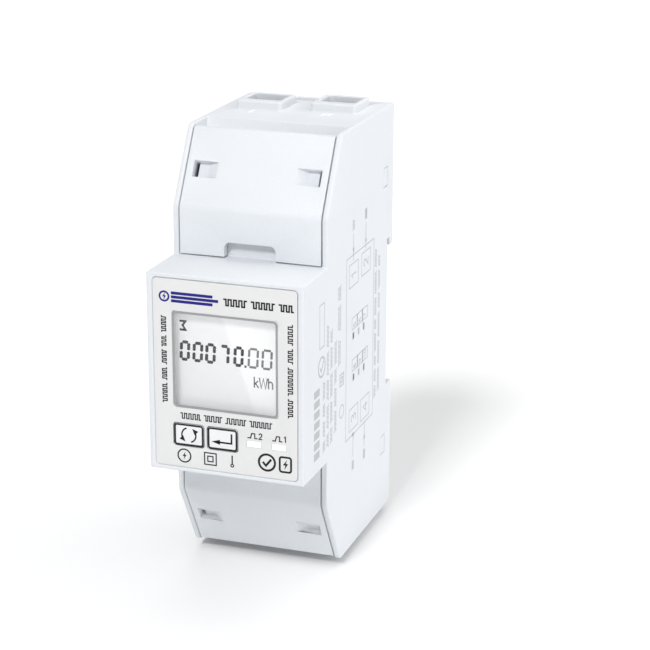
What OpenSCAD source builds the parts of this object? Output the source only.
// Two-module smart electricity meter for a 35 mm mounting rail.
// X runs to the right seen from the front, Y from the front to the wall, Z up.
// The origin is the centre of the face that rests on the rail.

/* [Case] */
// Width over the two side walls
case_w = 36; // [35.8:0.1:37]
// Height of the side walls
case_h = 100; // [99:0.5:103]
// Depth from the nose to the rearmost plane
case_d = 63; // [62.5:0.5:65]
// Thickness of the side walls
wall = 1.3; // [1.2:0.1:1.4]
// Thickness of the other case walls
panel = 1.6; // [1.4:0.1:1.6]
// Height of the nose that shows through a distribution board's cut-out
nose_h = 45; // [44.6:0.1:45]
// Distance from the nose front back to the flat front of the terminal covers
nose_step = 15.3; // [14.8:0.1:15.6]
// Height above centre where the terminal covers start to slope back
kink_z = 33.3; // [33:0.1:34]
// Distance from the nose front back to the top of the cover slope
slope_back = 25; // [24.5:0.1:25.2]

/* [Display] */
// Width of the printed front label
label_w = 33.2; // [32.8:0.1:33.3]
// Height of the printed front label
label_h = 43; // [42:0.1:43.2]
// Depth of the recess that holds the label
label_depth = 0.5; // [0.4:0.1:0.6]
// Width of the display window
window_w = 24.4; // [24:0.1:24.6]
// Height of the display window
window_h = 22; // [21.5:0.1:22.2]
// Height of the display window's centre above the nose centre
window_z = 3.4; // [3.3:0.1:3.6]

/* [Buttons] */
// Width of each button opening
button_w = 7.4; // [7:0.1:7.5]
// Height of each button opening
button_h = 5.5; // [5.2:0.1:5.6]
// How far a button presses in
button_travel = 0.5; // [0.3:0.1:0.5]

/* [Terminals] */
// Distance of each main terminal from the centre line
term_x = 8.5; // [8.3:0.1:8.6]
// Height of each main terminal screw above centre
term_z = 38.5; // [38.3:0.1:38.8]
// Width of each cable collar
collar_w = 10.8; // [10.4:0.1:11]
// Height of the cable collars above the case wall
collar_h = 1.9; // [1.6:0.1:2.2]
// Travel of a main cage clamp
cage_travel = 6.4; // [5:0.1:6.4]

/* [Auxiliary terminals] */
// Pitch of the three auxiliary terminals
aux_pitch = 5; // [5:0.02:5.08]
// Travel of an auxiliary cage clamp
aux_travel = 2.6; // [2:0.1:2.7]

/* [Rail] */
// Depth of the recess that takes the rail
recess_d = 3.8; // [3.6:0.1:4]
// Height above centre of the fixed hook's lip
hook_z = 16; // [15.9:0.1:16.2]
// Height of the sprung lip of the rail clip, below centre
clip_z = 16.2; // [16.1:0.1:16.4]
// Travel of the rail clip
clip_travel = 3; // [2.5:0.1:3]

/* [Hidden] */
$fn = 48;

// Case planes
half_w = case_w / 2;
half_h = case_h / 2;
half_nose = nose_h / 2;
inner_x = half_w - wall;
rear_y = recess_d;
nose_y = rear_y - case_d;
step_y = nose_y + nose_step;
slope_y = nose_y + slope_back;
seat_wall = 2;
seat_half = 15.8;
lower_block_z = 18.3;
cover_back_y = -26.2;
terminal_wall_y = -26;
wall_panel = 1.4;
cap_z = half_h;
slot_y = 1.5;
slot_top = hook_z + 1.9;
undercut = 0.3;
kink_r = 3;
shoulder_r = 1.8;
rear_r = 1;

// Covers
cover_t = 2;
cover_gap = 0.25;
cover_top_z = half_h - 0.7;
strip_z = cap_z - 3.2;
slope_angle = atan((slope_y - step_y) / (half_h - kink_z));
leg_x = 15.4;
leg_z = [41.3, 45.7];

// Main terminals: the even-numbered ones sit further back
even_shift = 2.8;
collar_y = -10.2;
hole_w = 8.4;
hole_d = 7;
hole_y = collar_y + 1;
cage_w = 9;
cage_h = 9;
cage_wall = 1.2;
cage_front_y = -17.8;
cage_front_t = 1.8;
cage_back_y = -4.8;
bar_y = -15.8;
bar_t = 1.6;
bar_w = 6.2;
head_y = -27.4;
head_t = 2.6;
head_d = 6.8;
shank_d = 4.9;
boss_d = 9.8;
boss_front_y = -30.6;
screw_end_y = -16.2;
running_gap = 0.05;

// Auxiliary terminals
aux_z = [26, 33.2];
aux_half_w = 7.8;
aux_y = [-41, -27];
aux_axis_z = 29.8;
aux_cage_y = [-34.6, -29];
aux_pin_y = [-33.1, -32.5];
aux_shoulder_y = -38.6;

// Boards
display_board_y = -49.8;
main_board_y = -32.3;
board_t = 1.6;

// Buttons and pulse windows
button_z = -13.85;
scroll_x = -8.7;
enter_x = -0.8;
button_face_y = nose_y + 0.1;
button_flange_y = nose_y + 2.2;
switch_h = 3.5;
plunger_top_y = display_board_y - switch_h - 1.1;
pulse_x = [12.28, 6.48];
pulse_z = -14.1;

// A block between pairs of coordinates
module block(x, y, z) {
    translate([x[0], y[0], z[0]]) cube([x[1] - x[0], y[1] - y[0], z[1] - z[0]]);
}

// A rod along Y between two depths
module rod_y(d, y) {
    translate([0, y[0], 0]) rotate([-90, 0, 0]) cylinder(d = d, h = y[1] - y[0]);
}

// A rectangle with round corners, extruded along Y between two depths
module pad_y(size, r, y) {
    translate([0, y[1], 0])
        rotate([90, 0, 0])
            linear_extrude(y[1] - y[0])
                round_rect(size, r);
}

module round_rect(size, r) {
    square([size[0] - 2 * r, size[1]], center = true);
    square([size[0], size[1] - 2 * r], center = true);
    for (x = [-1, 1], y = [-1, 1])
        translate([x * (size[0] / 2 - r), y * (size[1] / 2 - r)]) circle(r);
}

function toward(p, q) = (q - p) / norm(q - p);

// Half the angle at corner p of an outline whose neighbours are a and b
function half_angle(a, p, b) = acos(toward(p, a) * toward(p, b)) / 2;

// Where a round of radius r leaves the two sides of that corner
function tangents(a, p, b, r) =
    [for (q = [a, b]) p + r / tan(half_angle(a, p, b)) * toward(p, q)];

function round_centre(a, p, b, r) =
    p + r / sin(half_angle(a, p, b)) * toward([0, 0], toward(p, a) + toward(p, b));

// An outline in Y and Z, extruded along X. Each entry of rounds is the number
// of an outward corner and its radius.
module profile(x, points, rounds = []) {
    n = len(points);
    radius = [for (i = [0:n - 1]) max([0, for (c = rounds) if (c[0] == i) c[1]])];
    before = [for (i = [0:n - 1]) points[(i + n - 1) % n]];
    after = [for (i = [0:n - 1]) points[(i + 1) % n]];
    ends = [for (i = [0:n - 1]) radius[i] == 0 ? [points[i]]
                : tangents(before[i], points[i], after[i], radius[i])];
    translate([x[0], 0, 0])
        rotate([90, 0, 90])
            linear_extrude(x[1] - x[0]) {
                polygon([for (e = ends) each e]);
                for (i = [0:n - 1])
                    if (radius[i] > 0)
                        intersection() {
                            polygon([ends[i][0], points[i], ends[i][1]]);
                            translate(round_centre(before[i], points[i], after[i], radius[i]))
                                circle(radius[i]);
                        }
            }
}

module both_ends() {
    children();
    mirror([0, 0, 1]) children();
}

module both_sides() {
    children();
    mirror([1, 0, 0]) children();
}

// Places a child modelled at the upper left terminal at terminal n.
// Children that stay level with the case front are given shift = false.
module at_terminal(n, shift = true) {
    mirror([0, 0, n > 2 ? 1 : 0])
        translate([n % 2 == 1 ? -term_x : term_x, n % 2 == 0 && shift ? even_shift : 0, 0])
            children();
}

// Auxiliary terminals 5 to 7 are in the upper block, 8 to 10 in the lower one
module at_aux(n) {
    mirror([0, 0, n > 7 ? 1 : 0])
        translate([(n > 7 ? n - 9 : n - 6) * aux_pitch, 0, 0])
            children();
}

// Case ------------------------------------------------------------------

module side_wall() {
    profile([inner_x, half_w], [
        [nose_y, -half_nose], [step_y, -half_nose], [step_y, -kink_z], [slope_y, -half_h],
        [rear_y, -half_h], [rear_y, -lower_block_z], [0, -lower_block_z],
        [0, hook_z], [-undercut, hook_z], [-undercut, slot_top], [slot_y, slot_top],
        [slot_y, hook_z], [rear_y, hook_z], [rear_y, half_h], [slope_y, half_h],
        [step_y, kink_z], [step_y, half_nose], [nose_y, half_nose]
    ], [
        [2, kink_r], [3, shoulder_r], [4, rear_r],
        [13, rear_r], [14, shoulder_r], [15, kink_r]
    ]);
}

module nose_front() {
    x = inner_x + 0.1;
    difference() {
        block([-x, x], [nose_y, nose_y + 1.8], [-half_nose, half_nose]);
        translate([0, 0, window_z])
            pad_y([window_w, window_h], 0.6, [nose_y - 1, nose_y + 3]);
        for (x = [scroll_x, enter_x])
            translate([x, 0, button_z])
                pad_y([button_w, button_h], 0.8, [nose_y - 1, nose_y + 3]);
        for (x = pulse_x)
            translate([x, 0, pulse_z])
                pad_y([3.4, 1.5], 0.2, [nose_y - 1, nose_y + 3]);
    }
}

// Wall across the upper end of the electronics space, with its bar and pin slots
module partition() {
    difference() {
        block([-inner_x - 0.1, inner_x + 0.1], [nose_y, -seat_wall - 0.2],
              [half_nose - panel, half_nose]);
        block([-term_x - bar_w / 2 - 0.2, -term_x + bar_w / 2 + 0.2],
              [bar_y - 0.2, bar_y + bar_t + 0.2], [half_nose - 2, half_nose + 1]);
        block([term_x - bar_w / 2 - 0.2, term_x + bar_w / 2 + 0.2],
              [bar_y + even_shift - 0.2, bar_y + even_shift + bar_t + 0.2],
              [half_nose - 2, half_nose + 1]);
        for (i = [-1:1])
            translate([i * aux_pitch, 0, 0])
                block([-1.2, 1.2], [aux_pin_y[0] - 0.2, aux_pin_y[1] + 0.2],
                      [half_nose - 2, half_nose + 1]);
    }
}

// Wall behind the upper cover, with a boss for each main screw
module terminal_wall() {
    y0 = terminal_wall_y;
    lean = (cap_z - strip_z - 0.2) * tan(slope_angle);
    difference() {
        union() {
            block([-inner_x - 0.1, inner_x + 0.1], [y0, y0 + wall_panel], [half_nose - 0.5, cap_z]);
            for (n = [1, 2])
                at_terminal(n, false)
                    translate([0, 0, term_z]) rod_y(boss_d, [boss_front_y, y0 + 0.5]);
            block([-0.6, 0.6], [y0 - 7, y0 + 0.5], [aux_z[1] + 0.8, strip_z - panel - 0.4]);
            // Lip that leans out over the back edge of the cover
            profile([-inner_x - 0.1, inner_x + 0.1], [
                [y0 - lean, strip_z + 0.2], [y0, cap_z], [y0 + 0.5, cap_z], [y0 + 0.5, strip_z + 0.2]
            ]);
        }
        for (n = [1, 2])
            at_terminal(n, false)
                translate([0, 0, term_z]) {
                    rod_y(head_d + 0.6, [boss_front_y - 1, head_y]);
                    rod_y(shank_d + 0.5, [head_y - 1, y0 + 3]);
                }
        both_sides()
            block([leg_x - 1.3, leg_x + 0.7], [y0 - 1, y0 + 3], leg_z + [-0.4, 0.4]);
    }
}

// Ribs that guide one main cage clamp and the cable above it
module cage_guides() {
    z = [half_nose - 0.5, cap_z - 0.5];
    for (x = [-cage_w / 2 - 1.2, cage_w / 2 + 0.2])
        block([x, x + 1], [terminal_wall_y + 1, -seat_wall + 0.2], z);
}

// Raised frame round the upper left cable hole
module collar() {
    translate([-term_x, collar_y, cap_z - 0.5])
        linear_extrude(collar_h + 0.5)
            round_rect([collar_w, 11], 0.8);
}

module cable_hole() {
    translate([-term_x, hole_y, cap_z - panel - 1])
        linear_extrude(collar_h + panel + 2)
            round_rect([hole_w, hole_d], 0.6);
}

module end_wall() {
    difference() {
        union() {
            block([-inner_x - 0.1, inner_x + 0.1], [terminal_wall_y, rear_y - rear_r],
                  [cap_z - panel, cap_z]);
            collar();
            translate([2 * term_x, even_shift, 0]) collar();
        }
        cable_hole();
        translate([2 * term_x, even_shift, 0]) cable_hole();
    }
}

// Thin wall behind the notch of a cover, broken out when wires leave there
module knock_out_tab() {
    y = step_y + cover_t + 0.1;
    block([-7.5, 7.5], [y, y + 0.7], [half_nose - 0.5, 27]);
}

// Post for the display board and rib in front of the main board, one per corner
module board_supports() {
    translate([14.2, 0, 18.6]) rod_y(2.2, [nose_y + 1, display_board_y]);
    block([15.3, inner_x + 0.1], [main_board_y - 1.2, main_board_y], [12, half_nose - 1]);
}

module main_case() {
    color([0.93, 0.94, 0.96])
        difference() {
            union() {
                both_sides() side_wall();
                nose_front();
                both_ends() {
                    partition();
                    terminal_wall();
                    end_wall();
                    at_terminal(1) cage_guides();
                    at_terminal(2, false) cage_guides();
                    knock_out_tab();
                    both_sides() board_supports();
                }
            }
            // Recess for the label
            pad_y([label_w, label_h], 1, [nose_y - 1, nose_y + label_depth]);
            // Windows for the rear base's side hooks
            both_ends() both_sides()
                block([inner_x - 1, half_w + 1], [-3.6, -0.4], [31, 35.6]);
            // Slots for the rear base's end hook, with room to lever it, and for the rail clip
            block([-5.2, 5.2], [-1.4, 2], [cap_z - panel - 1, cap_z + 1]);
            block([-9.8, 9.8], [-1.2, rear_y + 1], [-cap_z - 1, -cap_z + panel + 1]);
        }
}

// Snap arm behind a side window
module side_hook() {
    block([inner_x - 1.3, inner_x - 0.1], [-5, 2.5], [29.5, 37]);
    block([inner_x - 0.5, half_w - 0.1], [-3.5, -0.5], [31.1, 35.5]);
}

module rear_base() {
    x = inner_x - 0.1;
    color([0.9, 0.91, 0.93])
        difference() {
            union() {
                // Wall against the rail, stepped behind the rail's two edges
                block([-x, x], [-seat_wall, 0], [-seat_half, seat_half]);
                block([-x, x], [-seat_wall, -undercut], [-lower_block_z - 1.6, slot_top + 1.6]);
                // Fixed upper hook and the plate above it
                block([-x, x], [-seat_wall, rear_y], [slot_top, slot_top + 1.6]);
                block([-x, x], [slot_y, rear_y], [hook_z, slot_top + 1.6]);
                block([-x, x], [2, rear_y], [slot_top + 1, cap_z - panel - 0.1]);
                block([-5, 5], [0.7, 1.9], [cap_z - panel - 3, cap_z - 1]);
                block([-5, 5], [0.7, 2.5], [cap_z - panel - 3, cap_z - panel - 0.1]);
                // Ledge and plate of the lower block
                block([-x, x], [-seat_wall, rear_y], [-lower_block_z - 1.6, -lower_block_z]);
                block([-x, x], [2, rear_y], [-cap_z + panel + 0.1, -lower_block_z - 1]);
                // Walls of the clip channel
                block([-9.6, 9.6], [-1, rear_y], [-cap_z + 0.4, -lower_block_z - 1]);
                both_ends() both_sides() side_hook();
                // Stops behind the partitions and posts behind the main board
                both_ends() {
                    block([-x, x], [-4, -seat_wall + 0.2], [19, 20.7]);
                    for (s = [-1, 1])
                        translate([s * 14.6, 0, 18]) rod_y(3, [main_board_y + board_t, -1]);
                }
            }
            // Channel and grooves of the rail clip
            block([-7.2, 7.2], [0.6, rear_y + 1], [-half_h - 1, -lower_block_z + 1]);
            block([-8.3, 8.3], [0.6, 2.2], [-half_h - 1, -lower_block_z - 2.6]);
        }
}

// The sprung slider that locks the case on the rail
module rail_clip() {
    color([0.86, 0.87, 0.88])
        difference() {
            union() {
                block([-6.9, 6.9], [0.9, 3.4], [-half_h - 1.2, -20]);
                block([-6.9, 6.9], [1.3, 3.4], [-21, -clip_z - 0.8]);
                // Lead-in of the lip, so the case snaps on when pressed
                profile([-6.9, 6.9], [
                    [1.3, -clip_z - 1], [3.4, -clip_z - 1], [3.4, -clip_z - 0.8],
                    [2.3, -clip_z], [1.3, -clip_z]
                ]);
                both_sides() block([6.5, 8], [0.9, 1.9], [-half_h + 2, -26]);
            }
            // Slot for the screwdriver
            block([-2.6, 2.6], [0, 4], [-half_h + 0.6, -half_h + 2.4]);
            // Windows that free the two spring legs
            for (s = [-1, 1])
                block([s * 3.6 - 1.5, s * 3.6 + 1.5], [0, 4], [-42, -28]);
        }
}

// Depth of the cover's slope at height z
function slope_at(z) = step_y + (z - kink_z) * tan(slope_angle);

// A removable cover: flat front, slope with a free top edge and, sunk behind
// it, a strip back to the terminal wall
module terminal_cover(hole_h) {
    x = inner_x - cover_gap;
    t = cover_t;
    // Mitre of the inner corner, so the wall keeps its thickness
    kink_in = t * tan(slope_angle / 2);
    inside = t / cos(slope_angle);
    difference() {
        union() {
            profile([-x, x], [
                [step_y, half_nose + 0.2], [step_y, kink_z],
                [slope_at(cover_top_z), cover_top_z], [slope_at(cover_top_z) + inside, cover_top_z],
                [slope_at(strip_z) + inside, strip_z], [cover_back_y, strip_z],
                [cover_back_y, strip_z - panel], [slope_at(strip_z - panel) + inside, strip_z - panel],
                [step_y + t, kink_z - kink_in], [step_y + t, half_nose + 0.2]
            ], [[1, kink_r], [2, 0.8], [3, 0.4]]);
            both_sides() cover_side();
            both_sides() cover_leg();
            both_sides() seal_pocket_backing();
        }
        // Notch over the knock-out tab
        translate([0, 0, half_nose + 1.3])
            pad_y([12, 4.6], 1.4, [step_y - 1, step_y + t + 0.4]);
        both_sides() seal_pocket(hole_h);
    }
}

// Stiffening web along the inside of a cover's edge
module cover_side() {
    x = inner_x - cover_gap;
    profile([x - 1, x], [
        [step_y + 0.5, half_nose + 0.2], [step_y + 0.5, kink_z],
        [slope_at(strip_z - 0.5) + 0.6, strip_z - 0.5], [cover_back_y - 0.5, strip_z - 0.5],
        [cover_back_y - 0.5, strip_z - 4], [slope_y + 3, strip_z - 5],
        [step_y + 5, kink_z], [step_y + 5, half_nose + 0.2]
    ]);
}

// Leg that plugs into the terminal wall
module cover_leg() {
    block([leg_x - 1, leg_x + 0.4], [slope_y - 2, -23.6], leg_z);
}

// Maps X, distance up the slope and height over the slope onto the cover
module on_slope() {
    translate([0, step_y, kink_z])
        rotate([90 - slope_angle, 0, 0])
            children();
}

seal_x = [8.4, 14.9];
seal_v = [7.1, 10.8];

// Hollow with a ramp at its inner end and a hole for the seal wire at its outer end
module seal_pocket(hole_h) {
    depth = 1.5;
    on_slope() {
        translate([0, seal_v[1], 0])
            rotate([90, 0, 0])
                linear_extrude(seal_v[1] - seal_v[0])
                    polygon([
                        [seal_x[0], 0.1], [seal_x[0], 0], [seal_x[0] + 0.8, -0.12],
                        [seal_x[0] + 3.2, -depth], [seal_x[1], -depth], [seal_x[1], 0.1]
                    ]);
        translate([seal_x[1] - 0.85, seal_v[1] - hole_h, -4]) cube([0.85, hole_h, 5]);
    }
}

module seal_pocket_backing() {
    on_slope()
        translate([seal_x[0] + 1.6, seal_v[0] - 1, -2.9])
            cube([seal_x[1] - seal_x[0] - 0.8, seal_v[1] - seal_v[0] + 2, 2]);
}

module upper_terminal_cover() {
    color([0.9, 0.92, 0.95]) terminal_cover(seal_v[1] - seal_v[0]);
}

module lower_terminal_cover() {
    color([0.86, 0.88, 0.9]) mirror([0, 0, 1]) terminal_cover(1.2);
}

// Display and front ------------------------------------------------------

module front_label() {
    y = [nose_y + 0.05, nose_y + label_depth];
    color([0.93, 0.93, 0.92])
        difference() {
            pad_y([label_w - 0.2, label_h - 0.2], 0.9, y);
            translate([0, 0, window_z]) pad_y([window_w, window_h], 0.6, [nose_y - 1, 0]);
            for (x = [scroll_x, enter_x])
                translate([x, 0, button_z]) pad_y([button_w, button_h], 0.8, [nose_y - 1, 0]);
            for (x = pulse_x)
                translate([x, 0, pulse_z]) pad_y([3.4, 1.5], 0.2, [nose_y - 1, 0]);
        }
}

module display_window() {
    color([0.75, 0.8, 0.82, 0.4])
        translate([0, 0, window_z])
            pad_y([window_w - 0.1, window_h - 0.1], 0.55, [nose_y + 0.05, nose_y + 1.6]);
}

glass_y = [nose_y + 2.2, nose_y + 4.4];
glass_w = window_w + 2;
glass_h = window_h + 2;

module display_glass() {
    y = [glass_y[0], glass_y[0] + 1.1, glass_y[1]];
    color([0.72, 0.76, 0.74])
        translate([0, 0, window_z]) {
            // Front sheet and the longer rear sheet that carries the contacts
            pad_y([glass_w, glass_h - 1.6], 0.2, [y[0], y[1]]);
            pad_y([glass_w, glass_h], 0.2, [y[1], y[2]]);
        }
}

module display_backlight() {
    y0 = glass_y[1] + 0.05;
    color([0.95, 0.95, 0.9])
        translate([0, 0, window_z]) {
            pad_y([glass_w, glass_h], 0.3, [y0, y0 + 2.2]);
            both_sides() block([9, 11], [y0 + 2, display_board_y], [-8, -6]);
        }
}

// Frame that locates the glass and the backlight on the display board
module display_holder() {
    y = [glass_y[0], display_board_y];
    color([0.2, 0.2, 0.21])
        translate([0, 0, window_z])
            difference() {
                pad_y([glass_w + 2.6, glass_h + 2.2], 0.8, y);
                pad_y([glass_w + 0.2, glass_h + 0.2], 0.3, [y[0] - 1, y[0] + 4.6]);
                pad_y([glass_w - 2, glass_h - 2], 0.3, [y[0] + 4, y[1] + 1]);
            }
}

// Cap, retaining flange and stem of one button
module button(x) {
    color([0.92, 0.92, 0.92])
        translate([x, 0, button_z]) {
            pad_y([button_w - 0.5, button_h - 0.5], 0.6, [button_face_y, button_flange_y + 0.1]);
            pad_y([button_w + 0.2, button_h + 0.6], 0.6, [button_flange_y, button_flange_y + 0.7]);
            rod_y(2.8, [button_flange_y + 0.6, plunger_top_y]);
        }
}

module scroll_button() { button(scroll_x); }

module enter_button() { button(enter_x); }

module switch_body(x) {
    y0 = display_board_y - switch_h;
    color([0.12, 0.12, 0.13])
        translate([x, 0, button_z])
            difference() {
                union() {
                    pad_y([6, 6], 0.3, [y0, display_board_y]);
                    for (u = [-1, 1], v = [-1, 1])
                        translate([u * 2.1, 0, v * 2.1]) rod_y(0.9, [y0 - 0.15, y0 + 0.5]);
                }
                rod_y(3.6, [y0 - 1, y0 + 1.5]);
            }
}

module scroll_switch() { switch_body(scroll_x); }

module enter_switch() { switch_body(enter_x); }

module switch_plunger(x) {
    color([0.25, 0.25, 0.26])
        translate([x, 0, button_z])
            rod_y(3.4, [plunger_top_y, display_board_y - switch_h + 0.8]);
}

module scroll_switch_plunger() { switch_plunger(scroll_x); }

module enter_switch_plunger() { switch_plunger(enter_x); }

// Clear light pipe from the front down to its LED
module pulse_window(i) {
    color([0.96, 0.96, 0.96])
        translate([pulse_x[i], 0, pulse_z]) {
            pad_y([3.2, 1.3], 0.15, [nose_y + 0.05, nose_y + 2.2]);
            pad_y([3.9, 2.3], 0.2, [nose_y + 2, nose_y + 3.2]);
            rod_y(1.9, [nose_y + 3, display_board_y - 1.6]);
        }
}

module pulse_window_1() { pulse_window(0); }

module pulse_window_2() { pulse_window(1); }

module pulse_leds() {
    color([0.9, 0.85, 0.8])
        for (x = pulse_x)
            translate([x, 0, pulse_z])
                pad_y([3, 1.6], 0.2, [display_board_y - 1.4, display_board_y]);
}

// Boards -----------------------------------------------------------------

module display_board() {
    color([0.1, 0.35, 0.18])
        pad_y([2 * inner_x - 2.4, nose_h - 2 * panel - 1.6], 1, [display_board_y, display_board_y + board_t]);
}

module main_board() {
    color([0.1, 0.35, 0.18])
        pad_y([2 * inner_x - 1.4, nose_h - 2 * panel - 0.8], 1, [main_board_y, main_board_y + board_t]);
}

header_x = [-14, -1.5];
header_y = -40.5;
header_z = [-16.6, -14];

module header_socket() {
    color([0.1, 0.1, 0.1])
        block(header_x, [display_board_y + board_t, header_y], header_z);
}

module header_pins() {
    color([0.12, 0.12, 0.12])
        block(header_x, [header_y, main_board_y], header_z);
}

// Flat package with a row of leads on two or four sides
module chip(size, y, leads, four_sided = false) {
    block([-size[0] / 2, size[0] / 2], y, [-size[1] / 2, size[1] / 2]);
    pitch = size[0] / (leads + 1);
    lead_y = [y[1] - 0.4, y[1]];
    for (i = [1:leads])
        both_ends()
            block([-size[0] / 2 + i * pitch - 0.15, -size[0] / 2 + i * pitch + 0.15],
                  lead_y, [size[1] / 2 - 0.2, size[1] / 2 + 0.9]);
    if (four_sided)
        for (i = [1:leads])
            both_sides()
                block([size[0] / 2 - 0.2, size[0] / 2 + 0.9], lead_y,
                      [-size[1] / 2 + i * pitch - 0.15, -size[1] / 2 + i * pitch + 0.15]);
}

module microcontroller() {
    color([0.08, 0.08, 0.09])
        translate([-7.5, 0, 8]) chip([9, 9], [main_board_y - 1.4, main_board_y], 11, true);
}

module metering_chip() {
    color([0.08, 0.08, 0.09])
        translate([-7.5, 0, -6.5]) chip([9, 5], [main_board_y - 1.7, main_board_y], 8);
}

module optocouplers() {
    color([0.1, 0.1, 0.1])
        for (x = [3.4, 10], z = [-11.5, 11])
            translate([x, 0, z]) chip([4.8, 4.4], [main_board_y - 3, main_board_y], 2);
}

module film_capacitor() {
    y = main_board_y + board_t;
    color([0.75, 0.62, 0.2]) translate([6, 0, 12]) pad_y([13, 6], 0.5, [y, y + 11]);
}

module filter_capacitor() {
    color([0.15, 0.17, 0.3]) {
        translate([5, 0, 0.5]) {
            rod_y(8, [main_board_y - 11, main_board_y - 0.8]);
            rod_y(7.4, [main_board_y - 0.9, main_board_y]);
        }
    }
}

module varistor() {
    y = main_board_y + board_t;
    color([0.15, 0.3, 0.6])
        translate([-10, y + 5.6, 13.2]) {
            rotate([0, 90, 0]) cylinder(d = 9, h = 3.4);
            for (z = [-2.5, 2.5])
                block([1.3, 2.1], [-5.6, -2], [z - 0.4, z + 0.4]);
        }
}

module inductor() {
    y = main_board_y + board_t;
    color([0.3, 0.3, 0.32])
        translate([8, 0, -11]) {
            rod_y(8, [y, y + 1]);
            rod_y(5.4, [y + 0.9, y + 7.1]);
            rod_y(8, [y + 7, y + 8]);
        }
}

// Power path -------------------------------------------------------------

// Screw with a crossed and slotted head
module terminal_screw(n) {
    end_y = screw_end_y + (n % 2 == 0 ? even_shift : 0);
    color([0.72, 0.72, 0.7])
        at_terminal(n, false)
            translate([0, 0, term_z])
                difference() {
                    union() {
                        rod_y(head_d, [head_y - head_t, head_y]);
                        rod_y(shank_d, [head_y - 0.1, end_y]);
                    }
                    for (size = [[head_d + 1, 1.1], [1.1, 4.6]])
                        pad_y(size, 0.1, [head_y - head_t - 1, head_y - head_t + 1.3]);
                }
}

// Steel frame that rises as its screw turns
module terminal_cage(n) {
    color([0.78, 0.76, 0.68])
        at_terminal(n)
            translate([0, 0, term_z])
                difference() {
                    block([-cage_w / 2, cage_w / 2], [cage_front_y, cage_back_y],
                          [-cage_h / 2, cage_h / 2]);
                    block([cage_wall - cage_w / 2, cage_w / 2 - cage_wall],
                          [cage_front_y + cage_front_t, cage_back_y - cage_wall],
                          [-cage_h, cage_h]);
                    rod_y(shank_d + 2 * running_gap, [cage_front_y - 1, cage_front_y + 3]);
                }
}

bar_top_z = term_z + cage_h / 2 + 1;
shunt_z = 6;

module live_busbar_in() {
    color([0.72, 0.45, 0.25])
        at_terminal(1)
            block([-bar_w / 2, bar_w / 2], [bar_y, bar_y + bar_t], [shunt_z, bar_top_z]);
}

module live_busbar_out() {
    color([0.72, 0.45, 0.25])
        at_terminal(3)
            block([-bar_w / 2, bar_w / 2], [bar_y, bar_y + bar_t], [shunt_z, bar_top_z]);
}

module current_shunt() {
    color([0.5, 0.42, 0.36])
        at_terminal(1)
            block([-bar_w / 2 + 0.4, bar_w / 2 - 0.4], [bar_y, bar_y + bar_t], [-shunt_z, shunt_z]);
}

module neutral_busbar() {
    color([0.72, 0.45, 0.25])
        at_terminal(2)
            block([-bar_w / 2, bar_w / 2], [bar_y, bar_y + bar_t], [-bar_top_z, bar_top_z]);
}

module sense_leads() {
    color([0.8, 0.2, 0.15]) {
        both_ends()
            translate([-term_x, 0, shunt_z + 1.5]) rod_y(1.2, [main_board_y + board_t, bar_y]);
        translate([term_x, 0, 0]) rod_y(1.2, [main_board_y + board_t, bar_y + even_shift]);
    }
}

// Auxiliary terminals ----------------------------------------------------

module aux_block() {
    front = aux_y[0];
    difference() {
        union() {
            block([-aux_half_w, aux_half_w], aux_y, aux_z);
            // Feet on the case, one each side of the wire space
            both_sides()
                block([aux_half_w - 1.5, aux_half_w], [aux_y[1] - 4, aux_y[1]],
                      [half_nose, aux_z[0] + 0.5]);
        }
        for (i = [-1:1])
            translate([i * aux_pitch, 0, 0]) {
                block([-2, 2], [aux_shoulder_y + 0.8, aux_y[1] - 1.2], [aux_z[0] - 1, 32.2]);
                translate([0, 0, aux_axis_z]) {
                    rod_y(3.8, [front - 1, aux_shoulder_y]);
                    rod_y(2.8, [front, aux_shoulder_y + 1.5]);
                }
            }
    }
}

module upper_aux_block() {
    color([0.2, 0.45, 0.3]) aux_block();
}

module lower_aux_block() {
    color([0.2, 0.45, 0.3]) mirror([0, 0, 1]) aux_block();
}

module aux_pins() {
    for (i = [-1:1])
        translate([i * aux_pitch, 0, 0])
            block([-0.9, 0.9], aux_pin_y, [half_nose - panel - 2.5, 32]);
}

module upper_aux_pins() {
    color([0.8, 0.72, 0.45]) aux_pins();
}

module lower_aux_pins() {
    color([0.8, 0.72, 0.45]) mirror([0, 0, 1]) aux_pins();
}

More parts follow.
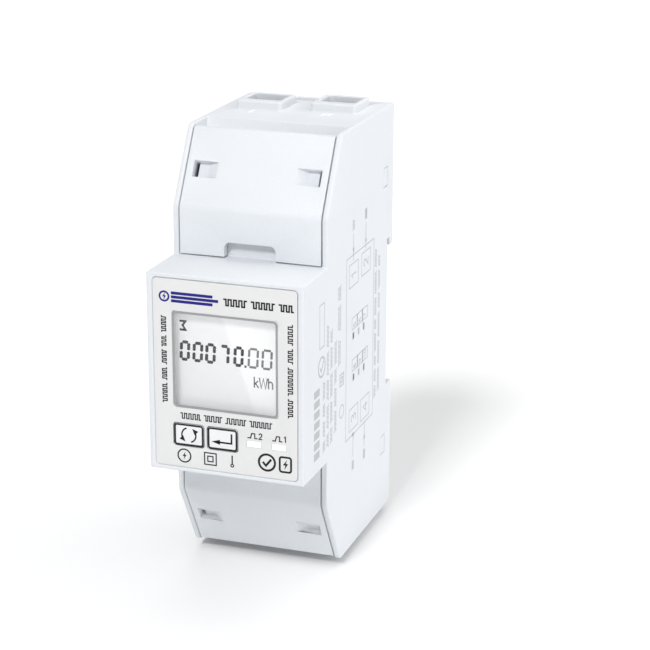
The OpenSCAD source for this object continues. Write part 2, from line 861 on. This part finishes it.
module aux_screw(n) {
    head = [aux_shoulder_y - 1.6, aux_shoulder_y];
    color([0.75, 0.75, 0.74])
        at_aux(n)
            translate([0, 0, aux_axis_z])
                difference() {
                    union() {
                        rod_y(3.4, head);
                        rod_y(2.4, [head[1] - 0.1, aux_cage_y[0] + 1.2]);
                    }
                    pad_y([4, 0.6], 0.1, [head[0] - 1, head[0] + 0.8]);
                }
}

module aux_cage(n) {
    color([0.8, 0.78, 0.7])
        at_aux(n)
            difference() {
                block([-1.8, 1.8], aux_cage_y, [aux_axis_z - 2.2, aux_axis_z + 2.2]);
                block([-1.3, 1.3], [aux_cage_y[0] + 1.2, aux_cage_y[1] - 0.7],
                      [aux_axis_z - 3, aux_axis_z + 3]);
                translate([0, 0, aux_axis_z])
                    rod_y(2.4 + 2 * running_gap, [aux_cage_y[0] - 1, aux_cage_y[0] + 2]);
            }
}

main_case();
rear_base();
upper_terminal_cover();
lower_terminal_cover();
front_label();
display_window();
display_glass();
display_backlight();
display_holder();
scroll_button();
enter_button();
scroll_switch();
enter_switch();
scroll_switch_plunger();
enter_switch_plunger();
pulse_window_1();
pulse_window_2();
pulse_leds();
display_board();
main_board();
header_socket();
header_pins();
rail_clip();
terminal_screw(1);  // terminal_1_screw
terminal_screw(2);  // terminal_2_screw
terminal_screw(3);  // terminal_3_screw
terminal_screw(4);  // terminal_4_screw
terminal_cage(1);  // terminal_1_cage
terminal_cage(2);  // terminal_2_cage
terminal_cage(3);  // terminal_3_cage
terminal_cage(4);  // terminal_4_cage
live_busbar_in();
current_shunt();
live_busbar_out();
neutral_busbar();
sense_leads();
upper_aux_block();
lower_aux_block();
upper_aux_pins();
lower_aux_pins();
aux_screw(5);  // aux_screw_5
aux_screw(6);  // aux_screw_6
aux_screw(7);  // aux_screw_7
aux_screw(8);  // aux_screw_8
aux_screw(9);  // aux_screw_9
aux_screw(10);  // aux_screw_10
aux_cage(5);  // aux_cage_5
aux_cage(6);  // aux_cage_6
aux_cage(7);  // aux_cage_7
aux_cage(8);  // aux_cage_8
aux_cage(9);  // aux_cage_9
aux_cage(10);  // aux_cage_10
microcontroller();
metering_chip();
optocouplers();
film_capacitor();
filter_capacitor();
varistor();
inductor();
